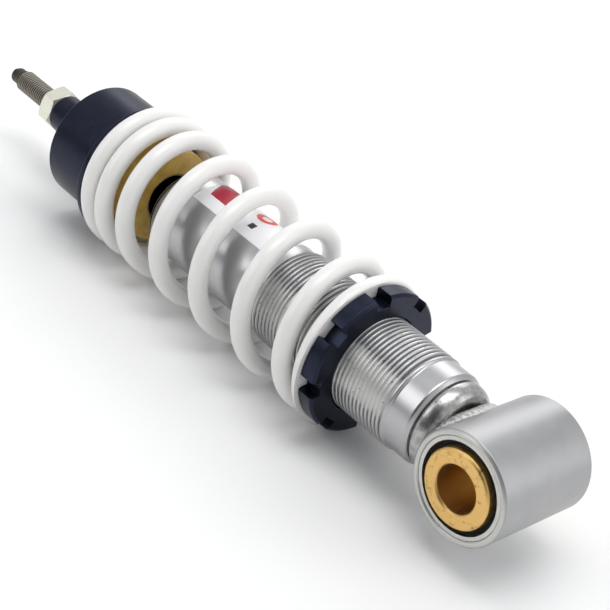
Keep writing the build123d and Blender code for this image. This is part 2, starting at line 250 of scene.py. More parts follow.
def spun(outline, axis="X", steps=160):
    """Grid of a turned part: outline holds (place along the axis, radius), and each point
    is carried round the axis. The angle is counted from +Y towards +Z, or from +Z to +X."""
    angle = np.linspace(0, 2 * np.pi, steps, endpoint=False)[None, :]
    along = np.repeat(outline[:, :1], steps, 1)
    first, second = outline[:, 1:] * np.cos(angle), outline[:, 1:] * np.sin(angle)
    order = (along, first, second) if axis == "X" else (second, along, first)
    return np.stack(order, -1)


def place_piece(name, mesh, material, body, replaces=()):
    """Puts a finished mesh in the scene with its material, on its body, for its nodes."""
    piece = bpy.data.objects.new(name, mesh)
    bpy.context.scene.collection.objects.link(piece)
    mesh.materials.append(material)
    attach(piece, body)
    if replaces:
        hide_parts(*replaces)
    return piece


def noise(material, coordinates, size, detail=3.0, stretch=(1, 1, 1), rough=0.55):
    """Noise whose blobs are about size millimetres across, drawn out along each axis."""
    drawn = add(material, "ShaderNodeMapping", {"Vector": coordinates},
                Scale=tuple(1 / (size * s) for s in stretch))
    return add(material, "ShaderNodeTexNoise", {"Vector": drawn.outputs[0]},
               Scale=1.0, Detail=detail, Roughness=rough).outputs[0]


def raised(material, shader, height, depth):
    """Bump from a height, where the full height is depth millimetres."""
    bump = add(material, "ShaderNodeBump", {"Height": height}, Distance=depth / 1000)
    join(material, bump.outputs[0], shader, "Normal")


def out_from_axis(material, coordinates, axis="X"):
    """The distance in millimetres from the damper's axis, or from the eye's for Y."""
    across = add(material, "ShaderNodeVectorMath", {0: coordinates}, operation="MULTIPLY")
    across.inputs[1].default_value = (0, 1, 1) if axis == "X" else (1, 0, 1)
    return add(material, "ShaderNodeVectorMath", {0: across.outputs[0]},
               operation="LENGTH").outputs["Value"]


# Yellow-passivated steel, turned: a warm matt gold with pale scuffs and a browner bore.
gold_zinc, gold_shader, gold_mm = new_material("yellow-passivated steel", Metallic=1.0)
scuffs = noise(gold_zinc, gold_mm, 3.0, 6.0, rough=0.7)
gold_tone = blend_colours(gold_zinc, scuffs, "#6E5526", "#E6BE78", 0.30, 0.46)
in_bore = add(gold_zinc, "ShaderNodeMapRange",
              {"Value": out_from_axis(gold_zinc, gold_mm, "Y")}, From_Min=8.9, From_Max=9.3)
bore_tone = add(gold_zinc, "ShaderNodeMix", {"Factor": in_bore.outputs[0]}, data_type="RGBA")
bore_tone.inputs["A"].default_value = linear("#C9A468")
join(gold_zinc, gold_tone.outputs[0], bore_tone, "B")
join(gold_zinc, bore_tone.outputs["Result"], gold_shader, "Base Color")
join(gold_zinc, between(gold_zinc, scuffs, 0.30, 0.55).outputs[0], gold_shader, "Roughness")
raised(gold_zinc, gold_shader, noise(gold_zinc, gold_mm, 1.2, 5.0), 0.05)

sleeve_length, sleeve_radius, sleeve_bore = 24.2, 14.6, 8.75
sleeve_outline = rounded([
    (-sleeve_length, sleeve_bore + 0.7), (-sleeve_length, sleeve_radius - 0.8),
    (-sleeve_length + 0.8, sleeve_radius), (sleeve_length - 0.8, sleeve_radius),
    (sleeve_length, sleeve_radius - 0.8), (sleeve_length, sleeve_bore + 0.7),
    (sleeve_length - 0.7, sleeve_bore), (-sleeve_length + 0.7, sleeve_bore),
], 0.35)
place_piece("eye_inner_sleeve", grid_mesh("eye_inner_sleeve", spun(sleeve_outline, "Y"), True),
            gold_zinc, "lower_sleeve", ["bush_inner_sleeve"])

# ---------------------------------------------------------------- lower eye: rubber and shell
# A thin ring of black rubber, moulded between the sleeve and a steel shell, and set back
# from the eye's faces. The shell is pressed into the eye tube.
black_rubber, rubber_shader, rubber_mm = new_material("moulded nitrile rubber", Roughness=0.62)
rubber_bloom = noise(black_rubber, rubber_mm, 2.5, 4.0)
rubber_tone = blend_colours(black_rubber, rubber_bloom, "#0A0908", "#1E1B18")
join(black_rubber, rubber_tone.outputs[0], rubber_shader, "Base Color")
raised(black_rubber, rubber_shader, noise(black_rubber, rubber_mm, 0.7), 0.03)
rubber_outline = rounded([(-21.2, 14.68), (-19.9, 15.7), (-21.2, 16.78),
                          (21.2, 16.78), (19.9, 15.7), (21.2, 14.68)], 0.5)
place_piece("eye_rubber", grid_mesh("eye_rubber", spun(rubber_outline, "Y"), True),
            black_rubber, "damper_body", ["bush_rubber"])

# Zinc-plated mild steel, drawn: pale grey and shiny, with a soft cloudiness.
bright_zinc, zinc_shader, zinc_mm = new_material("bright zinc-plated steel", Metallic=1.0)
zinc_cloud = noise(bright_zinc, zinc_mm, 4.0, 5.0, rough=0.65)
zinc_tone = blend_colours(bright_zinc, zinc_cloud, "#A8A9A6", "#E2E3E0")
join(bright_zinc, zinc_tone.outputs[0], zinc_shader, "Base Color")
join(bright_zinc, between(bright_zinc, zinc_cloud, 0.22, 0.42).outputs[0],
     zinc_shader, "Roughness")
raised(bright_zinc, zinc_shader, noise(bright_zinc, zinc_mm, 0.8, 4.0), 0.03)
shell_outline = rounded([(-22.4, 16.82), (-22.4, 18.3), (-22.3, 18.38), (22.3, 18.38),
                         (22.4, 18.3), (22.4, 16.82)], 0.2)
place_piece("eye_shell", grid_mesh("eye_shell", spun(shell_outline, "Y"), True),
            bright_zinc, "damper_body", ["bush_outer_shell"])

# ---------------------------------------------------------------- lower eye: tube
# A length of thick steel tube, faced in a lathe, welded on and sprayed aluminium silver.
# Its ends have a turned chamfer and fine tool rings, and the paint is thin on the edges.
silver_paint, paint_silver, eye_mm = new_material("aluminium-silver paint on steel",
                                                  Metallic=0.85, Roughness=0.42)
paint_cloud = noise(silver_paint, eye_mm, 9.0, 4.0)
paint_tone = blend_colours(silver_paint, paint_cloud, "#A0A0A1", "#B4B4B5")
# The faced ends are bare and brighter, with fine tool rings.
eye_apart = add(silver_paint, "ShaderNodeSeparateXYZ", {0: eye_mm})
eye_end = add(silver_paint, "ShaderNodeMath", {0: eye_apart.outputs[1]}, operation="ABSOLUTE")
faced = add(silver_paint, "ShaderNodeMapRange", {"Value": eye_end.outputs[0]},
            From_Min=22.2, From_Max=22.8)
tool_ring = add(silver_paint, "ShaderNodeTexNoise",
                {"W": out_from_axis(silver_paint, eye_mm, "Y")},
                noise_dimensions="1D", Scale=1.6, Detail=2.0)
bare_face = blend_colours(silver_paint, tool_ring.outputs[0], "#A6A7A3", "#E4E5E1")
eye_tone = add(silver_paint, "ShaderNodeMix", {"Factor": faced.outputs[0],
                                               "A": paint_tone.outputs[0],
                                               "B": bare_face.outputs[0]}, data_type="RGBA")
join(silver_paint, eye_tone.outputs["Result"], paint_silver, "Base Color")
join(silver_paint, between(silver_paint, paint_cloud, 0.34, 0.48).outputs[0],
     paint_silver, "Roughness")
raised(silver_paint, paint_silver, noise(silver_paint, eye_mm, 0.5, 2.0), 0.012)

eye_outline = rounded([
    (-22.5, 18.42), (-22.9, 18.9), (-23.0, 20.0), (-22.0, 21.0),
    (22.0, 21.0), (23.0, 20.0), (22.9, 18.9), (22.5, 18.42),
], 0.25, 3)
place_piece("eye_tube_painted", grid_mesh("eye_tube_painted", spun(eye_outline, "Y", 200), True),
            silver_paint, "damper_body", ["eye_tube"])

# ---------------------------------------------------------------- weld under the end cap
# One run of weld round the joint between the end cap and the eye. Its bead rises and
# falls with each pool of metal, and it is grey and grainy where the paint is thin.
weld_grey, weld_shader, weld_mm = new_material("mild steel weld", Metallic=0.9)
weld_grain = noise(weld_grey, weld_mm, 1.1, 6.0, rough=0.75)
weld_tone = blend_colours(weld_grey, weld_grain, "#8A8884", "#D2D2D0", 0.32, 0.62)
join(weld_grey, weld_tone.outputs[0], weld_shader, "Base Color")
join(weld_grey, between(weld_grey, weld_grain, 0.25, 0.6).outputs[0], weld_shader, "Roughness")
raised(weld_grey, weld_shader, weld_grain, 0.12)


def weld_bead(ring_radius, eye_radius, bead, pools, steps=360, sides=20):
    """A closed bead along the line where a tube about X meets the eye's tube about Y: the
    line's place along X is the eye's surface there, and the bead swells at each pool."""
    turn = np.linspace(0, 2 * np.pi, steps, endpoint=False)[:, None]
    side = np.linspace(0, 2 * np.pi, sides, endpoint=False)[None, :]
    pulse = np.abs(np.sin(pools * turn / 2 + 0.3 * np.sin(3 * turn)))
    size = bead * (0.90 + 0.10 * pulse + 0.05 * np.sin(2 * turn + 1))
    out = ring_radius + size * np.cos(side)
    saddle = np.sqrt(eye_radius ** 2 - (out * np.sin(turn)) ** 2)
    along = saddle + 0.3 + 1.1 * size * np.sin(side)
    return np.stack([along, out * np.cos(turn), out * np.sin(turn)], -1)


bead_grid = weld_bead(ring_radius=13.6, eye_radius=21.0, bead=2.7, pools=46)
place_piece("eye_weld_bead", grid_mesh("eye_weld_bead", bead_grid, True, True, 60),
            weld_grey, "damper_body", ["eye_weld"])

# ---------------------------------------------------------------- end cap
# A pressed steel cap, domed and welded into the tube's foot. It leaves a dark crescent
# groove under the tube's edge, and its paint is thin over the weld's heat marks.
dome_paint, dome_shader, dome_mm = new_material("silver paint over heat-marked steel",
                                               Metallic=0.95)
dome_cloud = noise(dome_paint, dome_mm, 3.0, 6.0, rough=0.7)
dome_tone = blend_colours(dome_paint, dome_cloud, "#868583", "#BBBBBA", 0.28, 0.6)
dome_speck = add(dome_paint, "ShaderNodeMapRange",
                 {"Value": noise(dome_paint, dome_mm, 1.1, 2.0)}, From_Min=0.27, From_Max=0.33)
dome_grime = add(dome_paint, "ShaderNodeMix", {"Factor": dome_speck.outputs[0],
                                               "B": dome_tone.outputs[0]}, data_type="RGBA")
dome_grime.inputs["A"].default_value = linear("#454340")
join(dome_paint, dome_grime.outputs["Result"], dome_shader, "Base Color")
join(dome_paint, between(dome_paint, dome_cloud, 0.24, 0.36).outputs[0],
     dome_shader, "Roughness")
raised(dome_paint, dome_shader, noise(dome_paint, dome_mm, 3.0, 2.0), 0.10)
dome_top, dome_depth, dome_inner, dome_swell = 27.7, 6.5, 12.6, 5.4
press = np.linspace(0, np.pi / 2, 14)
dome = np.stack([dome_top - dome_depth * np.cos(press) ** 0.9,
                 dome_inner + dome_swell * np.sin(press) ** 0.8], 1)
dome_outline = np.concatenate([
    [(21.2, 0.0), (21.2, 11.5)], dome, [(27.9, 17.9), (28.0, 17.3), (28.1, 16.85)],
    [(36.0, 16.8), (36.0, 14.0), (31.0, 14.0), (31.0, 0.0)],
])
place_piece("end_cap_domed", grid_mesh("end_cap_domed", spun(dome_outline), False),
            dome_paint, "damper_body", ["end_cap"])

# ---------------------------------------------------------------- body tube
# Cold-drawn steel tube. The foot is smooth, then comes the M40 x 2 thread that carries
# the spring's ring nut, and the top is turned down to a satin finish.
satin_steel, satin_shader, satin_mm = new_material("turned satin steel", Metallic=1.0,
                                                   Anisotropic=0.65)
around = add(satin_steel, "ShaderNodeTangent", direction_type="RADIAL", axis="X")
join(satin_steel, around.outputs[0], satin_shader, "Tangent")
# Tool marks 0.05 mm apart are too fine to show, so they are drawn about 0.6 mm apart.
tool_marks = noise(satin_steel, satin_mm, 0.6, 3.0, (1, 400, 400))
satin_tone = blend_colours(satin_steel, tool_marks, "#AFAFB0", "#BDBDBE")
join(satin_steel, satin_tone.outputs[0], satin_shader, "Base Color")
join(satin_steel, between(satin_steel, tool_marks, 0.26, 0.32).outputs[0],
     satin_shader, "Roughness")
raised(satin_steel, satin_shader, tool_marks, 0.002)

tube_bore = 17.0
thread_start, thread_end, thread_pitch = 41.5, 115.0, 2.0
crest_radius, root_radius = 19.98, 19.15
rub_y, rub_z = 0.94, 0.34    # the way that the thread's rubbed side faces
packed_end = 72.0            # how far up the rubbed side's roots are packed


def threaded(start, end, pitch, crest, root, samples=12, steps=96, fade=1.2, flat=0.14):
    """A right-hand screw thread about X: the radius at each place depends only on the
    place along X less the pitch times the turn. Flats at the crest and root are joined by
    straight flanks, and the depth fades to the root at both ends."""
    rows = int(round((end - start) / pitch * samples)) + 1
    along = np.linspace(start, end, rows)[:, None]
    turn = np.linspace(0, 1, steps, endpoint=False)[None, :]
    phase = np.abs(((along / pitch - turn) % 1.0) - 0.5) * 2
    depth = np.clip((phase - flat) / (0.86 - flat), 0, 1)
    close = np.clip(np.minimum(along - start, end - along) / fade, 0, 1)
    radius = root + (crest - root) * (1 - depth) * close
    angle = 2 * np.pi * turn
    along = np.repeat(along, steps, 1)
    return np.stack([along, radius * np.cos(angle), radius * np.sin(angle)], -1)


# Zinc-plated thread: painted shade darkens the roots and a painted highlight lightens the crests,
# with dark specks.
thread_zinc, thread_shader, thread_mm = new_material("zinc-plated steel thread", Metallic=1.0)
up_the_flank = add(thread_zinc, "ShaderNodeMapRange",
                   {"Value": out_from_axis(thread_zinc, thread_mm)},
                   From_Min=root_radius + 0.05, From_Max=crest_radius - 0.1)
thread_root_shade_tone = blend_colours(thread_zinc, up_the_flank.outputs[0], "#6C6D6F", "#BDBDBE")
specks = noise(thread_zinc, thread_mm, 0.9, 2.0)
speck_share = add(thread_zinc, "ShaderNodeMapRange", {"Value": specks},
                  From_Min=0.28, From_Max=0.34)
# One side of the thread is rubbed pale from end to end.
rub_side = add(thread_zinc, "ShaderNodeVectorMath", {0: thread_mm}, operation="DOT_PRODUCT")
rub_side.inputs[1].default_value = (0.0, rub_y, rub_z)
rub_edge = add(thread_zinc, "ShaderNodeMath", {0: rub_side.outputs["Value"]},
               operation="MULTIPLY_ADD")
rub_edge.inputs[1].default_value = 0.2
join(thread_zinc, noise(thread_zinc, thread_mm, 2.5, 4.0, rough=0.65), rub_edge, 2)
rubbed = add(thread_zinc, "ShaderNodeMapRange", {"Value": rub_edge.outputs[0]},
             From_Min=3.95, From_Max=4.25, To_Max=0.9)
rubbed_tone = add(thread_zinc, "ShaderNodeMix", {"Factor": rubbed.outputs[0],
                                                 "A": thread_root_shade_tone.outputs[0]}, data_type="RGBA")
rubbed_tone.inputs["B"].default_value = linear("#C6C7C3")
speckled = add(thread_zinc, "ShaderNodeMix", {"Factor": speck_share.outputs[0]},
               data_type="RGBA")
speckled.inputs["A"].default_value = linear("#3A3732")
join(thread_zinc, rubbed_tone.outputs["Result"], speckled, "B")
join(thread_zinc, speckled.outputs["Result"], thread_shader, "Base Color")
join(thread_zinc, between(thread_zinc, up_the_flank.outputs[0], 0.55, 0.34).outputs[0],
     thread_shader, "Roughness")
join(thread_zinc, between(thread_zinc, rubbed.outputs[0], 1.0, 0.35).outputs[0],
     thread_shader, "Metallic")

thread_grid = threaded(thread_start, thread_end, thread_pitch, crest_radius, root_radius,
                       flat=0.42)
foot_outline = rounded([(29.0, tube_bore), (29.0, 17.9), (30.5, 19.2), (39.7, 19.2),
                        (40.3, 19.9), (41.4, 19.9), (41.7, 19.1), (41.7, tube_bore)], 0.6, 5)
place_piece("body_tube_foot", grid_mesh("body_tube_foot", spun(foot_outline), True),
            satin_steel, "damper_body", ["body_tube"])
# Below the ring nut the rubbed side has shallower roots, as if they were packed with dirt.
thread_radius = np.hypot(thread_grid[..., 1], thread_grid[..., 2])
rub_facing = (rub_y * thread_grid[..., 1] + rub_z * thread_grid[..., 2]) / thread_radius
packed = 0.7 * np.clip((rub_facing - 0.88) / 0.08, 0, 1)
packed *= np.clip((thread_grid[..., 0] - thread_start) / 2, 0, 1)
packed *= np.clip((packed_end - thread_grid[..., 0]) / 2, 0, 1)
thread_grid[..., 1:] *= (1 + packed * (crest_radius / thread_radius - 1))[..., None]
thread_inside = spun(np.array([(thread_end, tube_bore), (thread_start, tube_bore)]), steps=96)
thread_wall = np.concatenate([thread_grid, thread_inside])
place_piece("body_thread", grid_mesh("body_thread", thread_wall, True, crease=60),
            thread_zinc, "damper_body", ["body_tube"])
upper_outline = rounded([(114.8, tube_bore), (114.8, 19.0), (179.6, 19.0), (180.0, 18.7),
                         (180.6, 18.7), (180.6, tube_bore)], 0.2, 4)
place_piece("body_tube_upper", grid_mesh("body_tube_upper", spun(upper_outline), True),
            satin_steel, "damper_body", ["body_tube"])

# ---------------------------------------------------------------- label
# A white foil label, printed and stuck round the upper tube. A red panel, an orange ring
# and a black bar stand for the print, and no words are drawn.
label_foil, label_shader, label_mm = new_material("printed polyester foil", Roughness=0.34,
                                                  Coat_Weight=0.2, Coat_Roughness=0.15)
wrap = add(label_foil, "ShaderNodeAttribute", attribute_name="wrap", attribute_type="GEOMETRY")
spread = add(label_foil, "ShaderNodeSeparateXYZ", {0: wrap.outputs["Vector"]})


def inside(material, value, low, high):
    """1 where a number lies between low and high, and 0 elsewhere."""
    above = add(material, "ShaderNodeMath", {0: value}, operation="GREATER_THAN")
    above.inputs[1].default_value = low
    below = add(material, "ShaderNodeMath", {0: value}, operation="LESS_THAN")
    below.inputs[1].default_value = high
    return add(material, "ShaderNodeMath", {0: above.outputs[0], 1: below.outputs[0]},
               operation="MULTIPLY").outputs[0]


def printed(material, under, share, ink):
    """Prints an ink over a colour where share is 1."""
    layer = add(material, "ShaderNodeMix", {"Factor": share, "A": under}, data_type="RGBA")
    layer.inputs["B"].default_value = linear(ink)
    return layer.outputs["Result"]


def both(material, first, second):
    """1 where two shares are both 1."""
    return add(material, "ShaderNodeMath", {0: first, 1: second}, operation="MULTIPLY").outputs[0]


station, arc = spread.outputs[0], spread.outputs[1]
foil_ground = blend_colours(label_foil, noise(label_foil, label_mm, 6.0), "#E9E9EB", "#F6F6F8")
slant = add(label_foil, "ShaderNodeMath", {0: arc}, operation="MULTIPLY_ADD")
slant.inputs[1].default_value = -0.45
join(label_foil, station, slant, 2)
red_panel = both(label_foil, inside(label_foil, slant.outputs[0], 157.0, 167.0),
                 inside(label_foil, arc, -4.6, 14.0))
print_red = printed(label_foil, foil_ground.outputs[0], red_panel, "#A8082E")
centre = add(label_foil, "ShaderNodeVectorMath", {0: wrap.outputs["Vector"]},
             operation="DISTANCE")
centre.inputs[1].default_value = (141.0, 5.6, 0.0)
orange_ring = inside(label_foil, centre.outputs["Value"], 2.2, 4.6)
print_orange = printed(label_foil, print_red, orange_ring, "#E0402A")
black_bar = both(label_foil, inside(label_foil, station, 137.6, 140.6),
                 inside(label_foil, arc, -5.6, -2.6))
print_black = printed(label_foil, print_orange, black_bar, "#16161A")
join(label_foil, print_black, label_shader, "Base Color")

label_rows, label_columns = 60, 120
label_along = np.linspace(121.0, 169.0, label_rows)
label_round = np.radians(np.linspace(59.0, 240.0, label_columns))
label_low, label_high = 19.01, 19.11
sheet_along = np.repeat(label_along[:, None], label_columns, 1)
outside = np.stack([sheet_along,
                    label_high * np.cos(label_round)[None].repeat(label_rows, 0),
                    label_high * np.sin(label_round)[None].repeat(label_rows, 0)], -1)
back = outside[::-1] * (1, label_low / label_high, label_low / label_high)
label_grid = np.concatenate([outside, back])
label_mesh = grid_mesh("foil_label", label_grid, True, False, crease=40)


def points_of(mesh):
    """A mesh's points in millimetres, one to a row."""
    flat = np.zeros(len(mesh.vertices) * 3, np.float32)
    mesh.vertices.foreach_get("co", flat)
    return flat.reshape(-1, 3) * 1000


label_points = points_of(label_mesh)
turn_angle = np.arctan2(label_points[:, 2], label_points[:, 1])
turn_angle = np.where(turn_angle < 0, turn_angle + 2 * np.pi, turn_angle) - np.pi / 2
wrapped = np.stack([label_points[:, 0], turn_angle * label_high, 0 * turn_angle], 1)
wrap_layer = label_mesh.attributes.new("wrap", "FLOAT_VECTOR", "POINT")
wrap_layer.data.foreach_set("vector", wrapped.astype(np.float32).ravel())
place_piece("foil_label", label_mesh, label_foil, "damper_body", ["label"])

# ---------------------------------------------------------------- gland nut and wiper
# A turned steel ring screwed into the tube's mouth holds the seals down. Its bright rim
# stands just above the tube, round a domed black dust cap.
gland_outline = rounded([(172.0, 12.05), (172.0, 16.95), (183.2, 16.95), (183.9, 16.2),
                         (183.9, 9.6), (181.4, 9.6), (181.4, 8.0), (177.0, 8.0),
                         (177.0, 12.05)], 0.3)
place_piece("gland_ring", grid_mesh("gland_ring", spun(gland_outline), True),
            bright_zinc, "damper_body", ["gland_nut"])
dust_seal_outline = rounded([(180.6, 17.0), (180.6, 18.5), (181.4, 18.4), (182.6, 17.5),
                             (182.6, 17.0)], 0.3)
place_piece("gland_dust_ring", grid_mesh("gland_dust_ring", spun(dust_seal_outline), True),
            black_rubber, "damper_body", ["gland_dust_seal"])
wiper_outline = rounded([(181.45, 6.05), (181.45, 9.55), (187.4, 9.55), (189.0, 8.8),
                         (189.6, 7.2), (189.6, 6.05)], 0.6)
place_piece("rod_dust_cap", grid_mesh("rod_dust_cap", spun(wiper_outline), True),
            black_rubber, "damper_body", ["rod_wiper"])

# ---------------------------------------------------------------- ring nut
# A castellated aluminium nut, turned, milled with eight notches for a hook spanner and
# anodised very dark blue. It carries the spring on the body's thread.
navy_anodised, navy_shader, navy_mm = new_material("dark blue anodised aluminium", Metallic=0.9)
navy_cloud = noise(navy_anodised, navy_mm, 5.0, 4.0)
navy_tone = blend_colours(navy_anodised, navy_cloud, "#20232F", "#2C3042")
join(navy_anodised, navy_tone.outputs[0], navy_shader, "Base Color")
join(navy_anodised, between(navy_anodised, navy_cloud, 0.28, 0.38).outputs[0],
     navy_shader, "Roughness")
raised(navy_anodised, navy_shader, noise(navy_anodised, navy_mm, 0.35, 2.0), 0.008)

nut_low, nut_high, nut_radius, nut_bore = 66.5, 74.0, 30.0, 20.05
notch_floor, notch_width, notch_first = 25.7, 6.8, 37.5


def castellated(count, first, width, floor, outer, per_land=14):
    """Outline of a notched ring seen along its axis, as (angle, radius) pairs: each notch
    has parallel walls, so its corners' angles are the arcsine of half its width."""
    top = np.arcsin(width / 2 / outer)
    foot = np.arcsin(width / 2 / floor)
    pitch = 2 * np.pi / count
    land = np.linspace(top, pitch - top, per_land)
    notch = np.linspace(-foot, foot, 6)
    one_angle = np.concatenate([notch, land])
    one_radius = np.concatenate([np.full(len(notch), floor), np.full(per_land, outer)])
    turns = np.radians(first) + pitch * np.arange(count)[:, None]
    return (one_angle[None] + turns).ravel(), np.tile(one_radius, count)


rim_angle, rim_radius = castellated(8, notch_first, notch_width, notch_floor, nut_radius)
levels = [(nut_low + 0.6, nut_bore), (nut_low, nut_bore + 0.6), (nut_low, nut_radius - 1.0),
          (nut_low + 1.0, nut_radius), (nut_high - 0.5, nut_radius),
          (nut_high, nut_radius - 0.5), (nut_high, nut_bore)]
level_along = np.array([p[0] for p in levels])[:, None].repeat(len(rim_angle), 1)
level_limit = np.array([p[1] for p in levels])[:, None]
is_bore = np.array([p[1] < notch_floor for p in levels])[:, None]
level_radius = np.where(is_bore, level_limit, np.minimum(rim_radius[None], level_limit))
nut_grid = np.stack([level_along, level_radius * np.cos(rim_angle),
                     level_radius * np.sin(rim_angle)], -1)
ring_nut = place_piece("ring_nut", grid_mesh("ring_nut", nut_grid, True, True, 25),
                       navy_anodised, "collar", ["preload_collar"])
broken_edges = ring_nut.modifiers.new("broken edges", "BEVEL")
broken_edges.width = 0.00025
broken_edges.segments = 2
broken_edges.limit_method = "ANGLE"
broken_edges.angle_limit = math.radians(35)
broken_edges.harden_normals = True

# ---------------------------------------------------------------- coil spring
# One length of 7.9 mm spring wire, coiled right-handed, closed and ground flat at both
# ends, and powder-coated gloss white. The top coils are wound closer, so it is progressive.
white_powder, powder_shader, powder_mm = new_material(
    "gloss white polyester powder coat", Roughness=0.30, Coat_Weight=0.35, Coat_Roughness=0.15)
powder_cloud = noise(white_powder, powder_mm, 14.0, 3.0)
powder_tone = blend_colours(white_powder, powder_cloud, "#ECEBE9", "#F3F2F0")
join(white_powder, powder_tone.outputs[0], powder_shader, "Base Color")
raised(white_powder, powder_shader, noise(white_powder, powder_mm, 1.8, 2.0), 0.02)

wire_radius, coil_radius, coil_pitch_closed = 3.93, 27.8, 8.0
seat_low, seat_high = 74.0, 214.0
# The wire's place along the damper at every half turn: one closed coil, then wide ones,
# and then closer and closer to the cap.
half_turns = np.array([71.3, 75.4, 79.6, 88.7, 100.6, 114.0, 127.0, 140.3, 153.3,
                       165.9, 177.5, 187.9, 196.0, 201.5, 206.2, 211.0, 215.1])
wire_start = math.radians(129.2 + 90.0)
turn = np.linspace(0.08, 7.75, 553)
before = np.floor(2 * turn).astype(int)
past = 2 * turn - before
slope = np.gradient(half_turns)
slope[0] = slope[0] / 2
slope[-1] = slope[-1] / 2
low, high = half_turns[before], half_turns[before + 1]
bend = 3 * (high - low) - 2 * slope[before] - slope[before + 1]
twist = slope[before] + slope[before + 1] - 2 * (high - low)
climb = low + slope[before] * past + bend * past ** 2 + twist * past ** 3
spin = wire_start + 2 * np.pi * turn
middle = np.stack([climb, coil_radius * np.cos(spin), coil_radius * np.sin(spin)], 1)
direction = np.gradient(middle, axis=0)
direction /= np.linalg.norm(direction, axis=1, keepdims=True)
outward = np.stack([0 * spin, np.cos(spin), np.sin(spin)], 1)
sideways = np.cross(direction, outward)
wire_sides = 28
section = np.linspace(0, 2 * np.pi, wire_sides, endpoint=False)[None, :, None]
wire = (middle[:, None] + wire_radius * np.cos(section) * outward[:, None]
        + wire_radius * np.sin(section) * sideways[:, None])
ends = [np.repeat(middle[[end]], wire_sides, 0)[None] for end in (0, -1)]
wire = np.concatenate([ends[0], wire, ends[1]])
wire[..., 0] = np.clip(wire[..., 0], seat_low + 0.02, seat_high - 0.02)
spring_mesh = grid_mesh("coil_spring_coated", wire, False, True, 50)
spring = place_piece("coil_spring_coated", spring_mesh, white_powder, "spring",
                     ["coil_spring"])
# Each ring's share of the cap's travel is the free gap below it, so all gaps close together.
spring_points = points_of(spring_mesh)
around_turn = (np.arctan2(spring_points[:, 2], spring_points[:, 1]) - wire_start) / (2 * np.pi)
guess = np.interp(spring_points[:, 0], climb, turn)
exact = around_turn + np.round(guess - around_turn)
open_climb = np.maximum(np.gradient(climb, turn) - coil_pitch_closed, 0)
# The ground ends stay whole against their seats.
open_climb[(climb < seat_low + wire_radius) | (climb > seat_high - wire_radius)] = 0
free_gap = np.cumsum(open_climb)
share_of_travel = np.interp(exact, turn, free_gap / free_gap[-1])
seat_group = spring.vertex_groups.new(name="follows the cap")
for step in range(101):
    members = np.nonzero(np.round(share_of_travel * 100) == step)[0]
    seat_group.add(members.tolist(), step / 100, "REPLACE")
follow = spring.modifiers.new("upper end follows the cap", "HOOK")
follow.object = frame["bodies"]["bump_carrier"]
follow.vertex_group = "follows the cap"
follow.falloff_type = "NONE"

# ---------------------------------------------------------------- bump stop
# A thick amber polyurethane stop fills the cap and the top coils. Its end face rounds off
# outside and rolls into a wide bore.
amber_urethane, amber_shader, amber_mm = new_material(
    "amber polyurethane", Roughness=0.42, Coat_Weight=0.25, Coat_Roughness=0.3)
amber_cloud = noise(amber_urethane, amber_mm, 4.0, 5.0, rough=0.65)
amber_tone = blend_colours(amber_urethane, amber_cloud, "#C9A044", "#E2BF69", 0.3, 0.7)
# The bore and the end face's inner edge are painted near-black: painted shade of the deep bore.
bore_shade_share = add(amber_urethane, "ShaderNodeMapRange",
                {"Value": out_from_axis(amber_urethane, amber_mm)},
                From_Min=10.7, From_Max=12.0)
amber_with_bore_shade = add(amber_urethane, "ShaderNodeMix", {"Factor": bore_shade_share.outputs[0],
                                                   "B": amber_tone.outputs[0]}, data_type="RGBA")
amber_with_bore_shade.inputs["A"].default_value = linear("#120E08")
join(amber_urethane, amber_with_bore_shade.outputs["Result"], amber_shader, "Base Color")
raised(amber_urethane, amber_shader, noise(amber_urethane, amber_mm, 1.2, 4.0), 0.05)
stop_outline = rounded([
    (193.8, 10.3), (192.9, 10.7), (192.6, 11.5), (193.8, 19.2), (194.4, 20.3), (195.4, 20.8),
    (196.6, 20.9), (236.9, 20.9), (236.9, 6.3), (216.0, 6.3), (214.0, 10.3),
], 0.5, 3)
bump_stop = place_piece("bump_stop_amber", grid_mesh("bump_stop_amber", spun(stop_outline), True),
                        amber_urethane, "bump_carrier", ["bump_stop"])
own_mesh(bump_stop)

# ---------------------------------------------------------------- top cap
# Turned aluminium, anodised dark blue like the ring nut: a flange that the spring seats
# against, a plain barrel over the bump stop, and a slim boss up to the nut.
cap_outline = rounded([
    (207.0, 21.2), (207.0, 22.6), (207.8, 23.4), (214.0, 23.4), (214.0, 29.6), (214.4, 30.0),
    (216.5, 30.0), (216.9, 29.6), (216.9, 25.75), (243.6, 25.75), (244.0, 25.35),
    (244.0, 10.0), (245.5, 8.5), (270.0, 8.5), (270.5, 8.0), (270.5, 5.0), (262.0, 5.0),
    (262.0, 6.05), (239.05, 6.05), (239.05, 21.2),
], 0.35)
place_piece("top_cap_anodised", grid_mesh("top_cap_anodised", spun(cap_outline, steps=200), True),
            navy_anodised, "rod_and_cap", ["top_cap"])

# ---------------------------------------------------------------- lock nut
# An M10 full nut, cold-formed, plated and passivated pale yellow, with both faces turned
# down to a circle so that the flats end in shallow arcs.
pale_zinc, pale_shader, pale_mm = new_material("pale yellow zinc plate", Metallic=0.7)
pale_cloud = noise(pale_zinc, pale_mm, 2.5, 5.0, rough=0.65)
pale_tone = blend_colours(pale_zinc, pale_cloud, "#E0DFC8", "#FAF9F0")
join(pale_zinc, pale_tone.outputs[0], pale_shader, "Base Color")
join(pale_zinc, between(pale_zinc, pale_cloud, 0.14, 0.28).outputs[0], pale_shader, "Roughness")
raised(pale_zinc, pale_shader, noise(pale_zinc, pale_mm, 1.0, 4.0), 0.04)


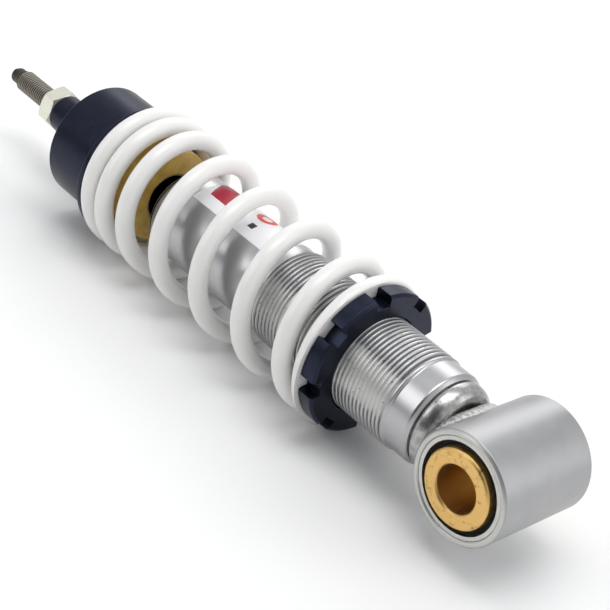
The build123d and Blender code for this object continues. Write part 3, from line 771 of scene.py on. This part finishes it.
def hexagon_nut(low, high, flats, bore, corner_angle, steps=180):
    """Grid of a hexagon nut about X. The wall's radius is half the width across flats over
    the cosine of the angle from the flat's middle, and a 30 degree cone turns the faces
    down, so its edge dips towards the corners."""
    angle = np.linspace(0, 2 * np.pi, steps, endpoint=False)
    from_flat = (angle - np.radians(corner_angle)) % (np.pi / 3) - np.pi / 6
    wall = flats / 2 / np.cos(from_flat)
    circle = flats / 2 - 0.15
    drop = (wall - circle) * math.tan(math.radians(30))
    sink = 0.5
    rows = [(low + sink, bore + 0 * wall), (low, bore + sink + 0 * wall),
            (low, circle + 0 * wall), (low + drop, wall), (high - drop, wall),
            (high, circle + 0 * wall), (high, bore + sink + 0 * wall),
            (high - sink, bore + 0 * wall)]
    along = np.stack([place + 0 * wall for place, _ in rows])
    radius = np.stack([size for _, size in rows])
    return np.stack([along, radius * np.cos(angle), radius * np.sin(angle)], -1)


lock_nut_grid = hexagon_nut(low=270.5, high=278.5, flats=17.0, bore=4.97, corner_angle=45.0)
place_piece("lock_nut_plated", grid_mesh("lock_nut_plated", lock_nut_grid, True, crease=20),
            pale_zinc, "rod_and_cap", ["lock_nut"])

# ---------------------------------------------------------------- piston rod and stud
# Induction-hardened bar, ground and hard-chromed where it slides. The M10 stud above the
# cap is left as heat-blackened steel, with a nose and two flats to hold it by.
hard_chrome, chrome_shader, chrome_mm = new_material("ground hard chrome", Metallic=1.0)
grind = noise(hard_chrome, chrome_mm, 0.5, 2.0, (1, 300, 300))
chrome_tone = blend_colours(hard_chrome, grind, "#CFD1D3", "#E6E8EA")
join(hard_chrome, chrome_tone.outputs[0], chrome_shader, "Base Color")
join(hard_chrome, between(hard_chrome, grind, 0.08, 0.16).outputs[0], chrome_shader, "Roughness")
bar_outline = rounded([(113.0, 0.0), (113.0, 3.4), (113.6, 4.0), (140.0, 4.0), (140.0, 6.0),
                       (262.0, 6.0), (262.0, 0.0)], 0.15)
place_piece("piston_rod_bar", grid_mesh("piston_rod_bar", spun(bar_outline, steps=96), False),
            hard_chrome, "rod_and_cap", ["piston_rod"])

black_steel, black_shader, black_mm = new_material("heat-blackened steel", Metallic=0.9)
black_wear = noise(black_steel, black_mm, 1.6, 5.0, rough=0.7)
# The thread's crests are painted pale over the dark steel: a painted highlight along each crest.
crest_highlight_share = add(black_steel, "ShaderNodeMapRange",
                 {"Value": out_from_axis(black_steel, black_mm)}, From_Min=4.45, From_Max=4.9)
black_root = blend_colours(black_steel, black_wear, "#2B2724", "#57514A")
black_with_crest_highlight = add(black_steel, "ShaderNodeMix", {"Factor": crest_highlight_share.outputs[0],
                                                "A": black_root.outputs[0]}, data_type="RGBA")
black_with_crest_highlight.inputs["B"].default_value = linear("#ABA599")
join(black_steel, black_with_crest_highlight.outputs["Result"], black_shader, "Base Color")
join(black_steel, between(black_steel, black_wear, 0.38, 0.6).outputs[0],
     black_shader, "Roughness")
stud_start, stud_steps = 262.0, 64
stud_thread = threaded(stud_start, end=303.6, pitch=1.25, crest=4.92, root=4.2,
                       steps=stud_steps, fade=0.6)
nose_turn = np.linspace(0, 2 * np.pi, stud_steps, endpoint=False)[None, :]
nose_rows = np.array([(303.9, 4.2), (304.6, 4.1), (305.8, 3.8), (306.1, 3.64), (306.4, 3.6),
                      (309.3, 3.6), (309.5, 3.56), (310.0, 3.2), (310.3, 2.7), (310.3, 0.0)])
nose_radius = nose_rows[:, 1:] + 0 * nose_turn
half_across_flats, flats_start = 2.9, 306.45
flat_limit = half_across_flats / np.maximum(np.abs(np.sin(nose_turn)), 1e-6)
nose_radius = np.where(nose_rows[:, :1] > flats_start,
                       np.minimum(nose_radius, flat_limit), nose_radius)
nose_along = nose_rows[:, :1] + 0 * nose_turn
nose_grid = np.stack([nose_along, nose_radius * np.cos(nose_turn),
                      nose_radius * np.sin(nose_turn)], -1)
stud_foot = np.zeros((1, stud_steps, 3)) + (stud_start, 0, 0)
stud_grid = np.concatenate([stud_foot, stud_thread, nose_grid])
place_piece("top_stud", grid_mesh("top_stud", stud_grid, False, crease=50),
            black_steel, "rod_and_cap", ["piston_rod"])

# ---------------------------------------------------------------- hidden hydraulics
# The cylinder, valves, guide, seals and piston inside the body keep their solid shapes.
# They are turned and stamped parts, in bare steel, sintered bronze, rubber and plastic.
sintered_bronze, bronze_shader, bronze_mm = new_material("sintered bronze", Metallic=1.0,
                                                         Roughness=0.5)
bronze_grain = noise(sintered_bronze, bronze_mm, 0.4, 4.0, rough=0.8)
bronze_tone = blend_colours(sintered_bronze, bronze_grain, "#6E5232", "#A98455")
join(sintered_bronze, bronze_tone.outputs[0], bronze_shader, "Base Color")
raised(sintered_bronze, bronze_shader, bronze_grain, 0.03)
bare_aluminium, bare_shader, bare_mm = new_material("turned bare aluminium", Metallic=1.0)
bare_rings = noise(bare_aluminium, bare_mm, 0.6, 2.0, (1, 200, 200))
bare_tone = blend_colours(bare_aluminium, bare_rings, "#C3C4C6", "#DDDEE0")
join(bare_aluminium, bare_tone.outputs[0], bare_shader, "Base Color")
join(bare_aluminium, between(bare_aluminium, bare_rings, 0.25, 0.4).outputs[0],
     bare_shader, "Roughness")
filled_ptfe, ptfe_shader, ptfe_mm = new_material("bronze-filled PTFE band", Roughness=0.5)
ptfe_grain = noise(filled_ptfe, ptfe_mm, 0.5, 4.0)
ptfe_tone = blend_colours(filled_ptfe, ptfe_grain, "#3A2A1C", "#5C4430")
join(filled_ptfe, ptfe_tone.outputs[0], ptfe_shader, "Base Color")
kept_nodes = {
    "inner_cylinder": bright_zinc, "base_valve": sintered_bronze,
    "base_valve_spacer": bright_zinc, "base_valve_shims": bright_zinc,
    "rod_guide": bare_aluminium, "guide_bush": sintered_bronze, "oil_seal": black_rubber,
    "seal_garter_spring": bright_zinc, "gland_o_ring": black_rubber,
    "piston": sintered_bronze, "piston_band": filled_ptfe, "rebound_shims": bright_zinc,
    "compression_shims": bright_zinc, "shim_washer": bright_zinc, "piston_nut": pale_zinc,
    "top_out_washer": bright_zinc, "top_out_bumper": black_rubber, "bump_washer": bright_zinc,
}
for node_name, finish in kept_nodes.items():
    node_object = frame["nodes"][node_name]
    node_object.data.materials.clear()
    node_object.data.materials.append(finish)
